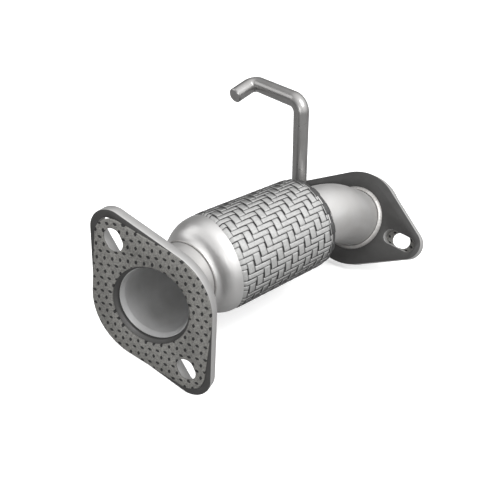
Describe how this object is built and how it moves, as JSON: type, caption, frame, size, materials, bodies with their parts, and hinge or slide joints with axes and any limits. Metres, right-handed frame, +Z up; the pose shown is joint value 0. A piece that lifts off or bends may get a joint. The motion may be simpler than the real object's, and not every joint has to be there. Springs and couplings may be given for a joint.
{
  "type": "exhaust front pipe",
  "caption": "Exhaust front pipe: slotted oval flanges with gaskets at both ends, a short neck, a braided flexible section, a bent outlet and a hanger rod.",
  "frame": {"origin": "centre of the front joint face, on the outer side of the front gasket", "axes": "+X along the axis of the flexible section, from the front flange to the rear one; +Z up along the upright leg of the hanger rod; +Y to the side the rod reaches out to"},
  "size_m": [0.2828, 0.1615, 0.1622],
  "materials": {
    "gasket": "matte",
    "flange_steel": "satin",
    "pipe_steel": "satin",
    "ferrule_steel": "satin",
    "weld": "satin",
    "braid_wire": "satin",
    "inner_steel": "satin",
    "rod_steel": "satin"
  },
  "bodies": {
    "front_end": {"front_gasket": "gasket", "front_flange": "flange_steel", "front_pipe": "pipe_steel", "front_flange_weld": "weld", "front_ferrule": "ferrule_steel", "front_ferrule_weld": "weld", "braid": "braid_wire", "bellows": "inner_steel", "liner": "inner_steel"},
    "rear_end": {"rear_ferrule": "ferrule_steel", "rear_ferrule_weld": "weld", "rear_pipe": "pipe_steel", "rear_flange_weld": "weld", "rear_flange": "flange_steel", "rear_gasket": "gasket", "hanger_rod": "rod_steel", "hanger_weld": "weld"}
  },
  "joints": [
    {"name": "flex_bend", "type": "hinge", "parent": "front_end", "child": "rear_end", "pos_m": [0.11059, 0.02468, -0.00764], "axis": [0, 1, 0], "range_deg": [-8, 8], "stiffness_Nm_per_rad": 120, "deforming": ["braid", "bellows", "liner"]}
  ]
}
